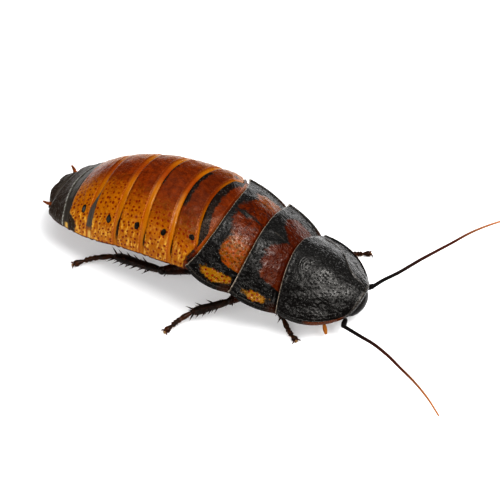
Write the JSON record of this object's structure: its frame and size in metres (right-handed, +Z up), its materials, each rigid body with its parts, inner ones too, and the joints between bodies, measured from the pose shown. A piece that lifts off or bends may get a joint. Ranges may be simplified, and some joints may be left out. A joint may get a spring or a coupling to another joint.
{
  "type": "insect model",
  "caption": "Life-size model of a Madagascar hissing cockroach standing with domed black shields, amber banded abdomen, spiny legs and long curved feelers.",
  "frame": {"origin": "middle of the model's box on the floor", "axes": "+X towards the head, +Y to the animal's left, +Z up"},
  "size_m": [0.0856, 0.0524, 0.0184],
  "materials": {
    "shield": "black, finely granular, half gloss",
    "back_plate": "mahogany over amber, satin gloss",
    "underside": "dark brown, satin",
    "eye": "dark, glossy",
    "mouth": "dark brown, half gloss",
    "palp": "orange brown, half gloss",
    "feeler": "black at the base to pale brown at the tip",
    "leg": "black brown, half gloss",
    "foot": "reddish brown, half gloss"
  },
  "bodies": {
    "root": {"pronotum": "shield", "mesonotum": "shield", "metanotum": "shield", "tail_plate": "shield", "head": "shield", "tergite_1": "back_plate", "tergite_2": "back_plate", "tergite_3": "back_plate", "tergite_4": "back_plate", "tergite_5": "back_plate", "tergite_6": "back_plate", "tergite_7": "back_plate", "prothorax": "underside", "mesothorax": "underside", "metathorax": "underside", "belly_front": "underside", "belly_middle": "underside", "belly_rear": "underside", "eye_right": "eye", "eye_left": "eye", "labrum": "mouth", "labium": "mouth", "mandible_right": "mouth", "mandible_left": "mouth", "palp_right": "palp", "palp_left": "palp", "cercus_right": "palp", "cercus_left": "palp", "feeler_base_right": "feeler", "feeler_inner_right": "feeler", "feeler_outer_right": "feeler", "feeler_base_left": "feeler", "feeler_inner_left": "feeler", "feeler_outer_left": "feeler", "coxa_front_right": "leg", "femur_front_right": "leg", "tibia_front_right": "leg", "coxa_middle_right": "leg", "femur_middle_right": "leg", "tibia_middle_right": "leg", "coxa_hind_right": "leg", "femur_hind_right": "leg", "tibia_hind_right": "leg", "coxa_front_left": "leg", "femur_front_left": "leg", "tibia_front_left": "leg", "coxa_middle_left": "leg", "femur_middle_left": "leg", "tibia_middle_left": "leg", "coxa_hind_left": "leg", "femur_hind_left": "leg", "tibia_hind_left": "leg", "tarsus_front_right": "foot", "tarsus_middle_right": "foot", "tarsus_hind_right": "foot", "tarsus_front_left": "foot", "tarsus_middle_left": "foot", "tarsus_hind_left": "foot"}
  },
  "joints": []
}
